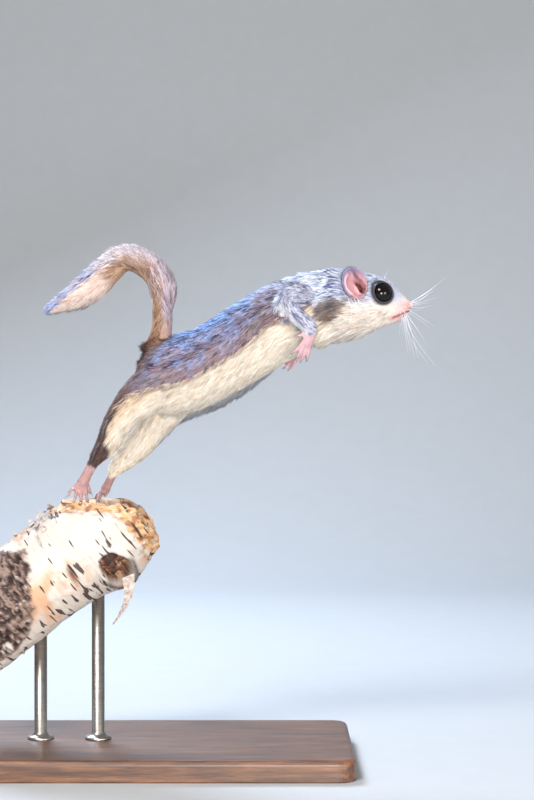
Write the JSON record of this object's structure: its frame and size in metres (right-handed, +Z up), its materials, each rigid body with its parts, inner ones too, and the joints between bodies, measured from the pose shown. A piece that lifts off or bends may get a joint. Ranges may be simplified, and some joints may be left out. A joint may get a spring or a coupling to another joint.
{
  "type": "southern flying squirrel model, leaping, on a birch perch and stand",
  "caption": "Still, life-size flying squirrel stretched out in a leap off a broken birch branch, with its tail arched over its back, on a plain display stand.",
  "frame": {"origin": "centre of the underside of the stand's base", "axes": "+Z up; +X the way the animal leaps; -Y the animal's right side, which the picture shows"},
  "size_m": [0.2226, 0.11, 0.2396],
  "materials": {
    "back_fur": "soft slate grey-brown fur",
    "face_fur": "short pale grey and ivory fur",
    "flank_fur": "dark brown fur with a cream underside",
    "belly_fur": "soft ivory-cream fur",
    "tail_fur": "cinnamon to lavender-grey tail hair",
    "pink_skin": "fine, thinly haired pink skin",
    "eye": "wet, glossy black-brown",
    "bark": "white birch bark with dark lenticels and rotten orange-brown broken wood",
    "base_wood": "dark stained, satin varnished hardwood",
    "rod_metal": "dark brushed steel"
  },
  "bodies": {
    "root": {"torso": "back_fur", "neck": "back_fur", "foreleg_left": "back_fur", "foreleg_right": "back_fur", "head": "face_fur", "patagium_left": "flank_fur", "patagium_right": "flank_fur", "hindleg_left": "belly_fur", "hindleg_right": "belly_fur", "tail_base": "tail_fur", "tail_middle": "tail_fur", "tail_tip": "tail_fur", "ear_left": "pink_skin", "ear_right": "pink_skin", "hand_left": "pink_skin", "hand_right": "pink_skin", "foot_left": "pink_skin", "foot_right": "pink_skin", "eye_left": "eye", "eye_right": "eye", "perch_branch": "bark", "stand_base": "base_wood", "stand_rod_rear": "rod_metal", "stand_rod_front": "rod_metal"}
  },
  "joints": []
}
